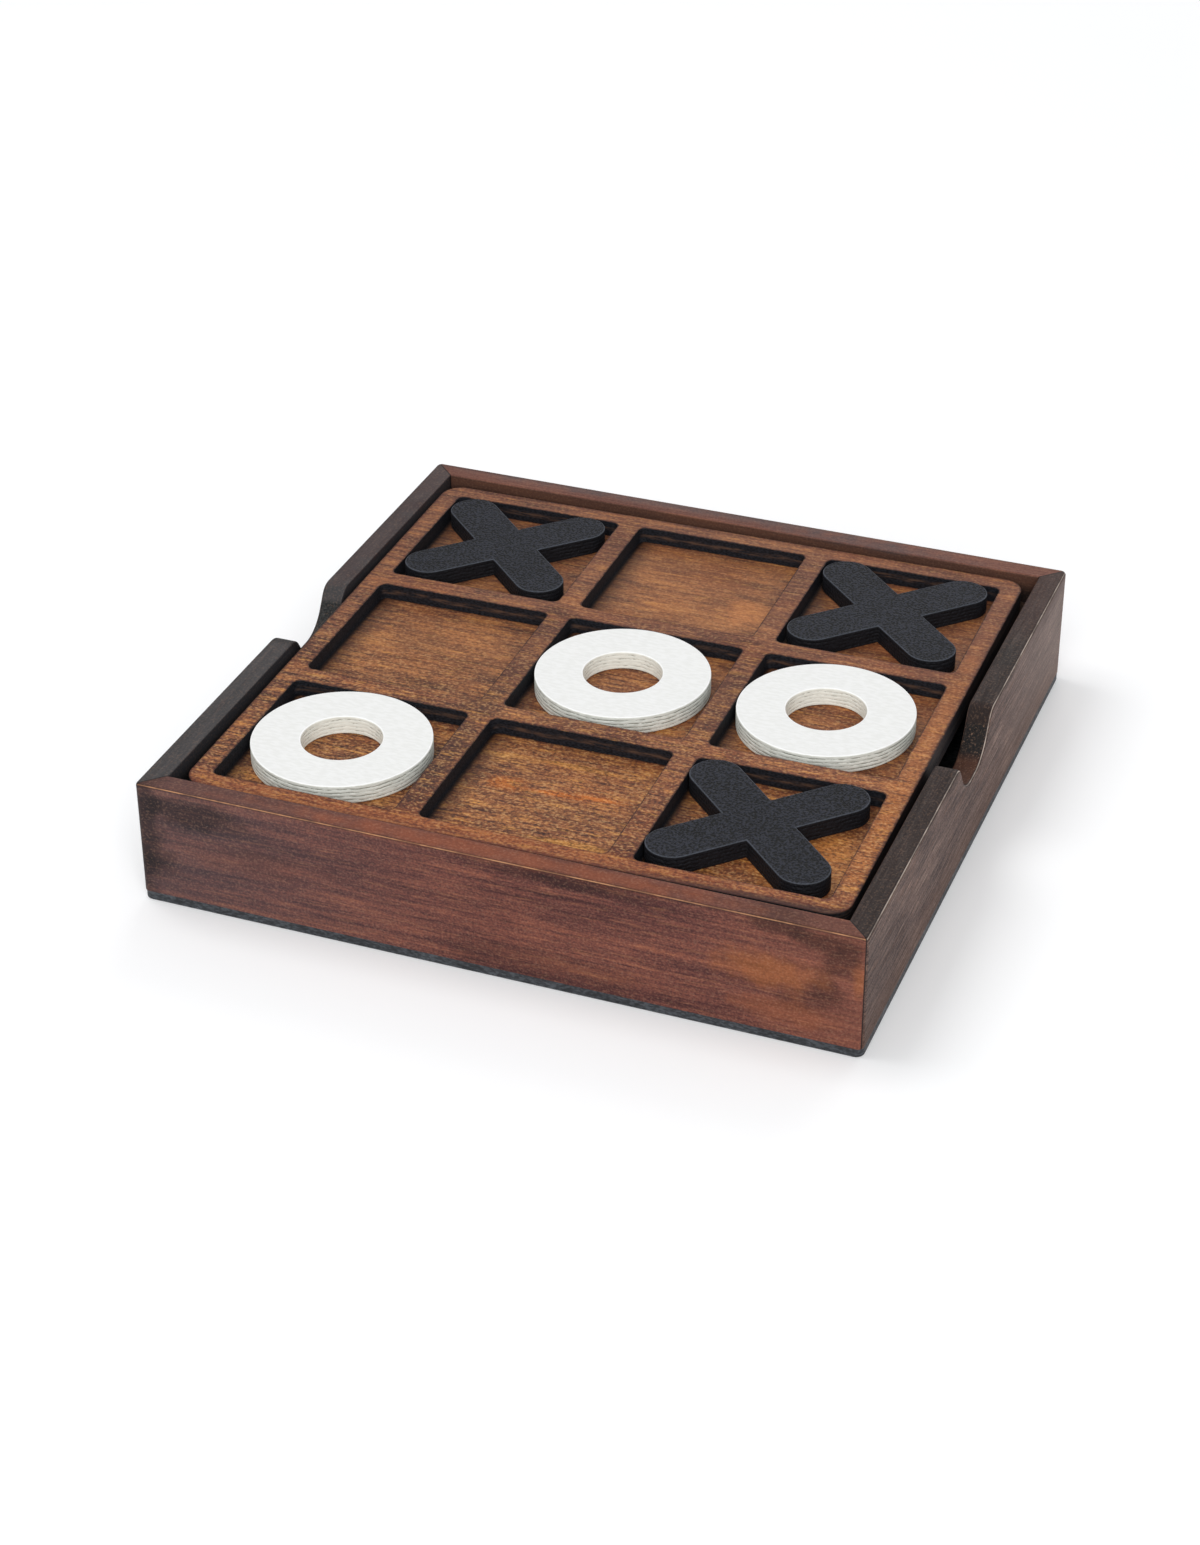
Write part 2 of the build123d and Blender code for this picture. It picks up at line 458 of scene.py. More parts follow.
def borders_and_painted_shade(tree, face, mm, ragged, painted_wall_shade):
    """Lays a red and a darker front border, and painted shade along each pocket's left wall."""
    place = add(tree, "SeparateXYZ", mm).node.outputs
    face = lay(tree, face, "#6a2c1e", (place["Y"], -86, -74, 0.35, 0.0))
    # The front edge is darkened along its right half
    front = add(tree, "Math MULTIPLY_ADD", ragged, 1.6, place["Y"])
    face = lay(tree, face, "#2a1a18", (front, -84.6, -82.8, 0.7, 0.0), (place["X"], 10, 70))
    # Painted shade on the floor along each pocket's left wall, which hides the light from the left
    across = add(tree, "SeparateXYZ", wrapped(tree, mm, pocket_pitch), take="X")
    from_left = add(tree, "Math ADD", across, pocket_half)
    face = lay(tree, face, "#2c1c16", (from_left, 1.0, 8.0, 0.7 * painted_wall_shade, 0.0))
    return lay(tree, face, "#0f0d0f", (from_left, 0.3, 1.5, painted_wall_shade, 0.0))


def board_material(name, seed, stops, middle_ply, spots, painted_wall_shade):
    """Stained birch ply for the grid or the floor, whose cut edges are charred."""
    material, tree, mm = new_tree(name)
    mm = on_board(tree, mm)
    ragged = flecks(tree, mm, (7, 3, 3), seed + 12, 3.0)
    contrast = add(tree, "SeparateXYZ", mm, take="Y")
    contrast = add(tree, "MapRange", contrast, -75, 60, 1.1, 0.65)
    tone = add(tree, "Math SUBTRACT", birch_tone(tree, mm, seed), 0.5)
    tone = add(tree, "Math MULTIPLY_ADD", tone, contrast, 0.5)
    face = birch_face(tree, mm, seed, tone, stops, spots, ragged)
    face = burn_marks_and_contact_shade(tree, face, mm, seed)
    face = borders_and_painted_shade(tree, face, mm, ragged, painted_wall_shade)
    normal = add(tree, "SeparateXYZ", add(tree, "TexCoord", take="Normal")).node.outputs
    upright = add(tree, "Math ABSOLUTE", normal["Z"])
    edge = charred_edge(tree, mm, normal, middle_ply, seed)
    colour = lay(tree, face, edge, (upright, 0.35, 0.75, 1.0, 0.0))
    roughness = add(tree, "MapRange", tone, 0.2, 0.9, 0.64, 0.5)
    finish_dry(tree, colour, tone, roughness, gloss=0.2)
    return material


print("the board's coats are ready")

# %% [markdown]
# What is left are the stains with a place of their own, and painted shadows. The floor of the
# pockets was cut from a livelier sheet than the grid: the knife met a ring of the tree in the front
# middle pocket, which left an orange loop with a long tail. A stain on a level face is given by its
# x and y, its radii along them, its strength and its colour, and so is a painted shadow.


# %% Stains and painted shadows on the board
def on_level(z, spots):
    """Stains and painted shadows on a level face at height z, in the form that stained() takes."""
    return [((x, y, z), (long, wide, 9), strength, shade)
            for x, y, long, wide, strength, shade in spots]


floor_stains_and_shadows = on_level(28, [
    # Front middle pocket: brown clouds, the loop with its dark rim and orange tail, gold streaks
    (-13, -43, 12, 4, 0.3, "#5c3826"),
    (6, -33, 16, 4, 0.3, "#5c3826"),
    (8, -61, 13, 4, 0.3, "#5c3826"),
    (-11, -52.5, 9.5, 6.2, 0.35, "#553222"),
    (-12, -53, 6.5, 4.4, 0.6, "#bc6622"),
    (-9.5, -52.5, 2.6, 1.6, 0.6, "#613a29"),
    (1, -53.5, 11, 1.5, 0.65, "#cc6c1e"),
    (12, -52, 9, 1.4, 0.6, "#cc6c1e"),
    (4, -57, 17, 1.4, 0.3, "#553222"),
    (-13, -66, 14, 1.3, 0.4, "#4e2e20"),
    (14, -74, 14, 2.2, 0.35, "#de9a3c"),
    (-14, -76, 10, 1.8, 0.3, "#de9a3c"),
    (2, -40, 20, 1.5, 0.25, "#de9a3c"),
    # Back middle pocket
    (2, 55, 24, 22, 0.12, "#c87c3c"),
    (-10, 68, 10, 7, 0.35, "#5e3626"),
    (17, 51, 9, 8, 0.45, "#c88048"),
    # Middle left pocket
    (-55, 0, 24, 23, 0.15, "#c87c3c"),
    (-61, 5, 10, 7, 0.35, "#5e3a28"),
    # Front right pocket
    (68, -60, 17, 18, 0.35, "#d08434"),
    # Painted shadow on the floor to the right of each played ring
    (-32.5, -47, 4.5, 10, 0.6, "#35221a"),
    (23.5, 1, 4, 9, 0.5, "#35221a"),
    (79.5, -1, 4, 9, 0.5, "#35221a"),
])
grid_stains = on_level(32, [
    # The darker front right corner
    (85, -85, 5, 5, 0.85, "#2a1712"),
    # Brown clouds on the bars between the pockets
    (-30, -56, 6, 30, 0.75, "#44261d"),
    (-2, -28, 22, 4, 0.3, "#44261d"),
    (28, -4, 5, 28, 0.5, "#44261d"),
    (-28, 2, 5, 26, 0.35, "#44261d"),
    (-30, -24, 7, 12, 0.5, "#3a241c"),
    (-28, 70, 5, 22, 0.3, "#44261d"),
    (28, 70, 5, 22, 0.3, "#44261d"),
    # The right and front borders are lighter and warmer
    (83, -20, 5, 75, 0.45, "#a8642f"),
    (-8, -82.5, 78, 4, 0.45, "#b0642e"),
    (83, -58, 6, 32, 0.15, "#c87828"),
    (-52, -85.6, 30, 1.1, 0.6, "#b8743c"),
])
print(len(floor_stains_and_shadows), "stains on the floor and", len(grid_stains), "on the grid")

# %% [markdown]
# The grid and the floor are the same wood, so one function makes both materials. The floor is
# lighter, and has painted shade along the pocket walls. The height of the middle ply tells where a
# cut edge keeps its brown streak.

# %% Board materials
board_steps = (0.12, 0.34, 0.5, 0.66, 0.88)  # where the five tones of each lie on its ramp
grid_tones = ("#231815", "#513227", "#744834", "#945e39", "#c98743")
floor_tones = ("#281c1a", "#56382c", "#805136", "#9e673c", "#d0954c")
# Birch plywood, cut by laser and rubbed with brown stain: dry, warm and finely flecked
grid_material = board_material("birch ply, laser-cut and stained", 10.0, zip(board_steps, grid_tones),
                               middle_ply=30.4, spots=grid_stains, painted_wall_shade=0.0)
# The same plywood as a whole sheet, under the cut-outs
floor_material = board_material("birch ply floor, stained", 40.0, zip(board_steps, floor_tones),
                                middle_ply=26.9, spots=floor_stains_and_shadows, painted_wall_shade=0.85)
print("made:", grid_material.name, "and", floor_material.name)

# %% [markdown]
# The tray's walls are solid wood under a mahogany stain. Under the stain the pores make a fine
# even speckle, with only faint long lines along the grain, which runs the length of each wall.


# %% Grain of the walls
def grain(along, length, width):
    """The size of a mark that runs with the grain, along x or y."""
    return (length, width, width) if along == "x" else (width, length, width)


def wall_tone(tree, mm, along, seed, weights):
    """How light the stained wood is, from drift, streaks, lines, soft mottle and speckle."""
    marks = (
        flecks(tree, mm, grain(along, 42, 10), seed + 1, 2.0, 0.4),
        flecks(tree, mm, grain(along, 55, 1.6), seed + 2, 3.0),
        flecks(tree, mm, grain(along, 14, 0.5), seed + 3, 2.0),
        flecks(tree, mm, grain(along, 1.6, 0.9), seed + 9, 1.0),
        crisp(tree, mm, grain(along, 0.55, 0.42), seed + 4),
    )
    return layered(tree, *zip(marks, weights))


print("the walls' lines are", grain("x", 14, 0.5)[1], "mm wide")

# %% [markdown]
# The left and right walls went smoky and grey, and each has a finger scoop. The scoop cuts across
# the grain, where open end pores drink the most stain: it is cinder-dark with specks of ash, and
# a rusty patch lies at its bottom.


# %% Smoky walls and their scoops
def smoked(tree, colour, mm, normal, ragged, seed, top, cut_tones):
    """Lays what only the scooped walls have. top is the colour and strength of the top face."""
    dark, light, rust, bare = cut_tones
    height = add(tree, "SeparateXYZ", mm, take="Z")
    # Some brown is left low down
    colour = lay(tree, colour, "#5e4030", (height, 3, 15, 0.4, 0.0))
    # The faces of the scoop and of the top look neither left nor right
    endwise = add(tree, "Math ABSOLUTE", normal["X"])
    endwise = add(tree, "MapRange", endwise, 0.3, 0.55, 1.0, 0.0)
    colour = lay(tree, colour, top[0], endwise, (height, 33.6, 34.0, top[1], 0.0))
    # Cinders, from a few millimetres under the rim downwards
    cut = add(tree, "Math MULTIPLY_ADD", ragged, 3.0, height)
    cinders = lay(tree, dark, light, crisp(tree, mm, (0.6, 0.6, 0.6), seed + 12, 1.0))
    bottom = add(tree, "Math MULTIPLY_ADD", ragged, 2.0, height)
    cinders = lay(tree, cinders, rust, (bottom, 24.2, 26.0, 0.75, 0.0))
    ash = flecks(tree, mm, (0.5, 0.5, 0.5), seed + 13)
    cinders = lay(tree, cinders, bare, (ash, 0.58, 0.7, 0.0, 0.6))
    return lay(tree, colour, cinders, (cut, 31.6, 32.6, 1.0, 0.0), endwise)


print("the scoops have end grain")

# %% [markdown]
# The outer edge of the rim is rubbed thin by hands, and it shows as a pale, broken line between
# two darker ones, which is partly wear and partly a painted highlight of the rounding. The rounding
# is under a millimetre wide, and the surface normal turns from level to upright across it, so the
# normal tells where on the rounding a point lies. Where two walls meet, there is a dark glue line
# at the mitre.


# %% Rim and mitres
def rim_wear_and_highlight(tree, colour, mm, normal, place, along, seed, rim):
    """Lays the rim's outer line, part wear and part painted highlight, in rim's colour and strength."""
    across = "Y" if along == "x" else "X"
    outward = add(tree, "Math ABSOLUTE", normal[across])
    outermost = add(tree, "Math ABSOLUTE", place[across])
    outermost = add(tree, "MapRange", outermost, 93.2, 93.6)
    rising = add(tree, "MapRange", normal["Z"], 0.12, 0.25)
    on_rim = add(tree, "Math MULTIPLY", outermost, rising)
    # A dark band, wider than the pale line, so that it borders it on both sides
    colour = lay(tree, colour, "#1e1312", (outward, 0.12, 0.45), (outward, 0.86, 0.97, 1.0, 0.0),
                 on_rim, 0.5)
    broken = flecks(tree, mm, grain(along, 5, 3), seed + 8, 4.0)
    return lay(tree, colour, rim[0], (outward, 0.5, 0.58), (outward, 0.72, 0.8, 1.0, 0.0), on_rim,
               (broken, 0.38, 0.62, 0.35, 1.0), rim[1])


def mitred(tree, colour, place):
    """Lays the glue line, which is where |x| = |y|."""
    sides = [add(tree, "Math ABSOLUTE", place[axis]) for axis in "XY"]
    apart = add(tree, "Math SUBTRACT", *sides)
    apart = add(tree, "Math ABSOLUTE", apart)
    return lay(tree, colour, "#0e0b0b", (apart, 0.1, 0.4, 0.9, 0.0))


print("rim and mitres can be laid")

# %% [markdown]
# The coats of a wall follow one another as in the workshop. The stained wood and its fibres come
# first. Stain pools into smudges, which multiply what is under them. The face towards the well is
# painted dark below the board's top, as painted shade down into the well. The top face took its own
# tone, and the last spots are places where the stain was rubbed off or pooled last, but for one of
# painted shade. Pores, dust, the rim with its part-painted highlight, and the mitres end it.

# %% A stained wall
wall_steps = (0.15, 0.38, 0.5, 0.65, 0.88)   # where a wall's five tones lie on its ramp


def wall_material(name, seed, along, tones, weights, rim, top, inner, smudges=(), tints_along=(),
                  cut_tones=None, last_spots=(), pepper=0.4):
    """A stained wall, with its grain along x or y, and tones from dark to light.

    rim, top and inner are each a colour and a strength.
    """
    material, tree, mm = new_tree(name)
    place = add(tree, "SeparateXYZ", mm).node.outputs
    facing = add(tree, "TexCoord", take="Normal")
    normal = add(tree, "SeparateXYZ", facing).node.outputs
    ragged = flecks(tree, mm, (7, 7, 5), seed + 6, 3.0)
    tone = wall_tone(tree, mm, along, seed, weights)
    colour = add(tree, "ValToRGB", tone, stops=zip(wall_steps, tones))
    colour = fibred(tree, colour, mm, grain(along, 12, 0.6), seed + 15, pepper, "#a86f4c", "#150b09")
    for shade, strength, start, finish in tints_along:
        colour = lay(tree, colour, shade, (place[along.upper()], start, finish, strength, 0.0))
    colour = stained(tree, colour, mm, ragged, smudges, "MULTIPLY")
    # The face towards the well, told by its normal and its place pointing opposite ways
    inside = add(tree, "VectorMath DOT_PRODUCT", facing, mm, take="Value")
    inside = add(tree, "MapRange", inside, -70, -30, 1.0, 0.0)
    colour = lay(tree, colour, inner[0], inside, inner[1])
    # Below the board's top it is painted dark: painted shade down into the well
    colour = lay(tree, colour, "#1a1818", inside, (place["Z"], 28, 32, 0.85, 0.0))
    # The top face
    patchy = flecks(tree, mm, grain(along, 26, 5), seed + 7, 3.0)
    colour = lay(tree, colour, top[0], (normal["Z"], 0.5, 0.85),
                 (patchy, 0.25, 0.7, top[1], top[1] * 0.88))
    colour = stained(tree, colour, mm, ragged, last_spots)
    if cut_tones:
        colour = smoked(tree, colour, mm, normal, ragged, seed, top, cut_tones)
    colour = peppered(tree, colour, mm, grain(along, 0.7, 0.55), seed + 14, pepper * 0.5, "#c49a7c")
    dust = flecks(tree, mm, (0.7, 0.7, 0.7), seed + 10)
    colour = lay(tree, colour, "#a89a90", (dust, 0.74, 0.8, 0.0, 0.45))
    # The pale rim line is part wear, part painted highlight
    colour = rim_wear_and_highlight(tree, colour, mm, normal, place, along, seed, rim)
    colour = mitred(tree, colour, place)
    roughness = add(tree, "MapRange", tone, 0.2, 0.9, 0.68, 0.52)
    finish_dry(tree, colour, tone, roughness, gloss=0.22)
    return material


print("a wall's coats are ready")

# %% [markdown]
# The front and back boards took the stain warm and red. The front one is greyer towards the left
# and smudged at both ends, where stain pooled, and it glows orange near its right end, where the
# stain was rubbed thin. A stain on its outside is given by its x and z, its radii along them,
# its strength and its colour.


# %% Front wall
def on_front(spots):
    """Stains on the front wall's outside, in the form that stained() takes."""
    return [((x, -95, z), (long, 30, high), strength, shade)
            for x, z, long, high, strength, shade in spots]


even = (0.45, 0.65, 0.35, 0.2, 0.1)          # weights of drift, streaks, lines, mottle and speckle
front_tones = ("#251311", "#4b2826", "#613730", "#7d4839", "#a86a44")
front_smudges = on_front([
    (73, 33, 10, 3.5, 0.6, "#5a4a4c"),
    (85, 31, 11, 3.0, 0.65, "#64504e"),
    (88.5, 26, 6, 4.5, 0.6, "#66525a"),
    (85, 17, 5.5, 5.5, 0.55, "#6a5860"),
    (79, 12.5, 7, 3.5, 0.3, "#7a6a70"),
    (-93, 22, 6, 26, 0.7, "#5c6068"),
    (-80, 28, 18, 5, 0.7, "#63656e"),
    (-91, 12, 8, 7, 0.6, "#6c6c76"),
    (17, 33, 24, 3, 0.5, "#7a6c6c"),
    (14, 7, 34, 5, 0.35, "#8c868c"),
])
front_glows = on_front([
    (71, 20, 15, 6, 0.4, "#a8622c"),
    (93.5, 22, 2.5, 5, 0.3, "#a8622c"),
    (76, 9, 16, 4, 0.25, "#a05a30"),
    (-62, 18, 24, 5, 0.12, "#8a4c30"),
])
# And one along the middle of the top face
front_glows.append(((4, -92, 35.3), (78, 4, 2.4), 0.65, "#8b482a"))
# Solid wood, mahogany-stained and wiped: even and red, with a soft sheen of rubbed wood
wall_front = wall_material(
    "mahogany-stained wood, front", 70.0, "x", front_tones, even,
    rim=("#cc9468", 0.7), top=("#583428", 0.5), inner=("#2e1a15", 0.7), smudges=front_smudges,
    tints_along=(("#464348", 0.45, -95, 10), ("#945840", 0.25, 95, 50)), last_spots=front_glows, pepper=0.65)
print("made:", wall_front.name, "with", len(front_smudges) + len(front_glows), "spots")

# %% [markdown]
# The back board took the same stain evenly, and two grey veils lie on its top face. The right
# wall has bold lines. It is lighter and greyer towards the back, which is painted sheen, darker at
# its front end and almost black on top, with a pale worn rim that is partly painted highlight. The
# left wall is the greyest, and turns brown towards the back, and painted shade lies on the front
# shoulder of its scoop.

# %% Back, right and left walls
back_tones = ("#2c1712", "#523027", "#664033", "#80503c", "#a06843")
back_glows = [
    ((-22, 93.3, 35.2), (95, 3.2, 2.4), 0.55, "#3a3c40"),
    ((38, 90, 35.2), (34, 3, 2.4), 0.45, "#3a3a3e"),
]
# The same wood and stain as in front, left alone
wall_back = wall_material(
    "mahogany-stained wood, back", 80.0, "x", back_tones, even,
    rim=("#8a6a5c", 0.4), top=("#6e4236", 0.4), inner=("#50382d", 0.7), last_spots=back_glows)

lined = (0.45, 0.5, 1.2, 0.3, 0.15)
right_tones = ("#241613", "#46342f", "#58433d", "#6e544a", "#967a69")
# The back end of the top is brown, and a dark spot lies in front of it
right_glows = [
    ((95, 78, 34), (30, 24, 6), 0.5, "#3e2620"),
    ((92, 44, 35.3), (4.5, 9, 2.4), 0.6, "#181310"),
]
# The same wood and stain gone smoky: grey over brown, and rougher to the eye
wall_right = wall_material(
    "smoky stained wood, right", 90.0, "y", right_tones, lined,
    rim=("#c4b4a8", 0.8), top=("#1d110d", 0.97), inner=("#1d1a18", 0.8),
    # The first tint, lighter and greyer towards the back, is painted sheen
    tints_along=(("#8d7a72", 0.5, 95, 10), ("#3a2c28", 0.3, -95, -55)),
    cut_tones=("#040304", "#1c1512", "#4e2e20", "#8a6a56"), last_spots=right_glows)

left_tones = ("#2a2625", "#45403f", "#524c4b", "#605856", "#7a6d68")
# Painted shade on the front shoulder of the scoop, and brown on the back half of the top
left_spots = [
    ((-92, -16, 34), (9, 4.5, 5), 0.8, "#171616"),
    ((-92, 45, 35.2), (8, 50, 2.4), 0.5, "#3a2321"),
]
wall_left = wall_material(
    "smoky stained wood, left", 100.0, "y", left_tones, even,
    rim=("#6c6a6a", 0.3), top=("#363536", 0.72), inner=("#2b2b2f", 0.9),
    tints_along=(("#66453c", 0.8, 95, 50),),
    cut_tones=("#1b1c1d", "#333332", "#2c2a29", "#55524f"), last_spots=left_spots)
print("made:", ", ".join(wall.name for wall in (wall_back, wall_right, wall_left)))

# %% [markdown]
# The base is a sheet of thin ply stained blue-black, which shows as a stripe under the walls.
# The posts inside the well took a dark stain too, so that they do not show in the gap. Neither
# has anything but its grain, so a broad and a fine noise under one ramp are enough.


# %% Base and posts
def plain_material(name, seed, tones, size):
    """Dark stained wood with one grain, whose finest marks are size millimetres long."""
    material, tree, mm = new_tree(name)
    broad = flecks(tree, mm, [length * 6 for length in size], seed, 3.0)
    fine = crisp(tree, mm, size, seed + 1, 1.0)
    tone = layered(tree, (broad, 0.7), (fine, 0.35))
    colour = add(tree, "ValToRGB", tone, stops=zip((0.2, 0.5, 0.8), tones))
    roughness = add(tree, "MapRange", tone, 0.2, 0.8, 0.61, 0.49)
    finish_dry(tree, colour, tone, roughness, gloss=0.3)
    return material


base_tones = ("#1e2023", "#323539", "#4c5055")
post_tones = ("#1c1410", "#33251c", "#4d392b")
# Thin plywood under black stain: blue-grey where the light grazes it
base_material = plain_material("thin ply base, stained black", 130.0, base_tones, (1.2, 0.9, 0.5))
# Square solid wood under dark stain, with its grain upright
post_material = plain_material("post, stained dark", 140.0, post_tones, (0.9, 0.9, 9.0))
print("made:", base_material.name, "and", post_material.name)

# %% [markdown]
# The pieces are cut from thin plywood and painted, white for the rings and black for the
# crosses. Paint sinks into the glue lines of a cut edge, so the plies still show as wavy
# ridges. The shape of a piece follows a rule: a flat outline is raised level by level, rounded
# at its lower and upper edges and stepped in at each glue line. So it is made with Geometry
# Nodes, and a Repeat Zone does the raising.
#
# First comes the rule for one level: how far its outline is moved in. Each point of the flat
# blank remembers its place there, and carries the way in which its side faces, and it is always
# placed anew from these two.


# %% The rule of one level
def moved_in(tree, place, outward, inset, rise):
    """The place of a point that is moved in by inset and raised by rise, in metres."""
    inward = add(tree, "Math MULTIPLY", inset, -1.0)
    flat = add(tree, "VectorMath SCALE", outward, {"Scale": inward})
    flat = add(tree, "VectorMath ADD", place, flat)
    return add(tree, "VectorMath ADD", flat, add(tree, "CombineXYZ", {"Z": rise}))


def rounded_edge(tree, given, to_edge):
    """How far a quarter circle of radius Ease moves in, at a distance from the piece's face."""
    short = add(tree, "Math SUBTRACT", given["Ease"], to_edge)
    short = add(tree, "Math MAXIMUM", short, 0.0)
    squares = [add(tree, "Math POWER", side, 2.0) for side in (given["Ease"], short)]
    chord = add(tree, "Math SQRT", add(tree, "Math SUBTRACT", *squares))
    return add(tree, "Math SUBTRACT", given["Ease"], chord)


def glue_line(tree, given, place, rise, to_edge):
    """How deep in a glue line a point lies, 0 to 1: where the height in plies is a whole number."""
    mm = add(tree, "VectorMath SCALE", place, {"Scale": 1000.0})
    # The plies waver slowly round the piece
    waver = add(tree, "Math SUBTRACT", flecks(tree, mm, (7, 7, 7), given["Seed"], 2.0), 0.5)
    share = add(tree, "Math DIVIDE", rise, given["Height"])
    in_plies = add(tree, "Math MULTIPLY", share, given["Plies"])
    in_plies = add(tree, "Math MULTIPLY_ADD", waver, given["Waver"], in_plies)
    wave = add(tree, "Math MULTIPLY", in_plies, math.pi)
    wave = add(tree, "Math ABSOLUTE", add(tree, "Math COSINE", wave))
    glue = add(tree, "MapRange", wave, 0.72, 0.98)
    # None lies in the rounded edge
    off_face = add(tree, "MapRange", to_edge, 0.0003, 0.0006)
    glue = add(tree, "Math MULTIPLY", glue, off_face)
    # Here and there the paint has filled the line
    lift = add(tree, "CombineXYZ", {"Z": add(tree, "Math MULTIPLY", rise, 1000.0)})
    filled = add(tree, "VectorMath ADD", mm, lift)
    filled = flecks(tree, filled, (3, 3, 0.8), given["Seed"], 2.0)
    filled = add(tree, "MapRange", filled, 0.3, 0.6, 0.25, 1.0)
    glue = add(tree, "Math MULTIPLY", glue, filled)
    torn = add(tree, "GeometryNodeInputNamedAttribute", {"Name": "torn"}, data_type="FLOAT")
    return add(tree, "Math MULTIPLY", glue, torn)


print("one level is moved in by its rounding and its glue line")

# %% [markdown]
# The group repeats that rule. In each round of the Repeat Zone only the lid is extruded, and then
# only its points are placed anew. The underside is the blank itself, turned over and joined on.
# The attribute named glue is kept for the paint, and the others are removed.


# %% The ply stack
def ply_stack():
    """A node group that raises a flat blank to a piece with rounded edges and ply ridges."""
    tree = bpy.data.node_groups.new("ply stack", "GeometryNodeTree")
    inputs = {"Blank": "Geometry", "Height": "Float", "Plies": "Float", "Levels": "Int", "Ease": "Float",
              "Groove": "Float", "Waver": "Float", "Seed": "Float", "Finish": "Material"}
    for name, kind in inputs.items():
        tree.interface.new_socket(name, in_out="INPUT", socket_type=f"NodeSocket{kind}")
    tree.interface.new_socket("Piece", in_out="OUTPUT", socket_type="NodeSocketGeometry")
    given = add(tree, "NodeGroupInput").node.outputs
    position = add(tree, "GeometryNodeInputPosition")
    outward, place = (
        add(tree, "GeometryNodeInputNamedAttribute", {"Name": name}, data_type="FLOAT_VECTOR")
        for name in ("outward", "place"))
    blank = add(tree, "GeometryNodeStoreNamedAttribute",
                {"Geometry": given["Blank"], "Name": "place", "Value": position},
                data_type="FLOAT_VECTOR", domain="POINT")
    first = moved_in(tree, place, outward, given["Ease"], 0.0)
    underside = add(tree, "GeometryNodeSetPosition", {"Geometry": blank, "Position": first})
    underside = add(tree, "GeometryNodeStoreNamedAttribute",
                    {"Geometry": underside, "Name": "glue", "Value": 0.0},
                    data_type="FLOAT", domain="POINT")

    loop_start = tree.nodes.new("GeometryNodeRepeatInput")
    loop_end = tree.nodes.new("GeometryNodeRepeatOutput")
    loop_start.pair_with_output(loop_end)
    tree.links.new(given["Levels"], loop_start.inputs["Iterations"])
    tree.links.new(underside, loop_start.inputs["Geometry"])

    # The height of this level and of the one below it
    below = add(tree, "Math DIVIDE", loop_start.outputs["Iteration"], given["Levels"])
    below = add(tree, "Math MULTIPLY", below, given["Height"])
    step = add(tree, "Math DIVIDE", given["Height"], given["Levels"])
    rise = add(tree, "Math ADD", below, step)
    # What is on the lid, and then what is new, is told by how far it has risen
    z, z_on_blank = (add(tree, "SeparateXYZ", vector, take="Z") for vector in (position, place))
    risen = add(tree, "Math SUBTRACT", z, z_on_blank)
    lid, on_new_lid = (
        add(tree, "Math GREATER_THAN", risen, add(tree, "Math MULTIPLY_ADD", step, -0.25, level))
        for level in (below, rise))
    half_way = add(tree, "Math MULTIPLY_ADD", step, 0.5, below)
    new_points = add(tree, "Math GREATER_THAN", risen, half_way)
    raised = add(tree, "GeometryNodeExtrudeMesh",
                 {"Mesh": loop_start.outputs["Geometry"], "Selection": lid, "Offset Scale": 1.0,
                  "Offset": add(tree, "CombineXYZ", {"Z": step}), "Individual": False}, mode="FACES")

    to_face = add(tree, "Math SUBTRACT", given["Height"], rise)
    to_edge = add(tree, "Math MINIMUM", rise, to_face)
    glue = glue_line(tree, given, place, rise, to_edge)
    rounding = rounded_edge(tree, given, to_edge)
    inset = add(tree, "Math MULTIPLY_ADD", glue, given["Groove"], rounding)
    level_place = moved_in(tree, place, outward, inset, rise)
    raised = add(tree, "GeometryNodeSetPosition",
                 {"Geometry": raised, "Selection": new_points, "Position": level_place})
    raised = add(tree, "GeometryNodeStoreNamedAttribute",
                 {"Geometry": raised, "Selection": on_new_lid, "Name": "glue", "Value": glue},
                 data_type="FLOAT", domain="POINT")
    tree.links.new(raised, loop_end.inputs["Geometry"])

    join = tree.nodes.new("GeometryNodeJoinGeometry")
    turned_over = add(tree, "GeometryNodeFlipFaces", {"Mesh": underside})
    for part in (loop_end.outputs["Geometry"], turned_over):
        tree.links.new(part, join.inputs["Geometry"])
    piece = add(tree, "GeometryNodeMergeByDistance",
                {"Geometry": join.outputs["Geometry"], "Distance": 1e-6})
    for spent in ("place", "outward"):
        piece = add(tree, "GeometryNodeRemoveAttribute", {"Geometry": piece, "Name": spent})
    # The two faces are flat, and the sides are shaded smooth
    upright = add(tree, "SeparateXYZ", add(tree, "GeometryNodeInputNormal"), take="Z")
    upright = add(tree, "Math ABSOLUTE", upright)
    flat = add(tree, "Math GREATER_THAN", upright, 0.9)
    sides = add(tree, "Math SUBTRACT", 1.0, flat)
    piece = add(tree, "GeometryNodeSetShadeSmooth", {"Geometry": piece, "Shade Smooth": sides})
    piece = add(tree, "GeometryNodeRealizeInstances", {"Geometry": piece})
    piece = add(tree, "GeometryNodeSetMaterial", {"Geometry": piece, "Material": given["Finish"]})
    add(tree, "NodeGroupOutput", {"Piece": piece})
    return tree


stack = ply_stack()
print("ply stack has", len(stack.nodes), "nodes")

# %% [markdown]
# A blank is the flat outline of a piece at the height of its underside. A ring's blank is a band
# between two circles. Its bore is drilled, and cleaner than a sawn side, so it is less torn.

# %% A ring's blank
ring_radius = 23.3             # all in mm
bore_radius = 10.5
round_steps = 160


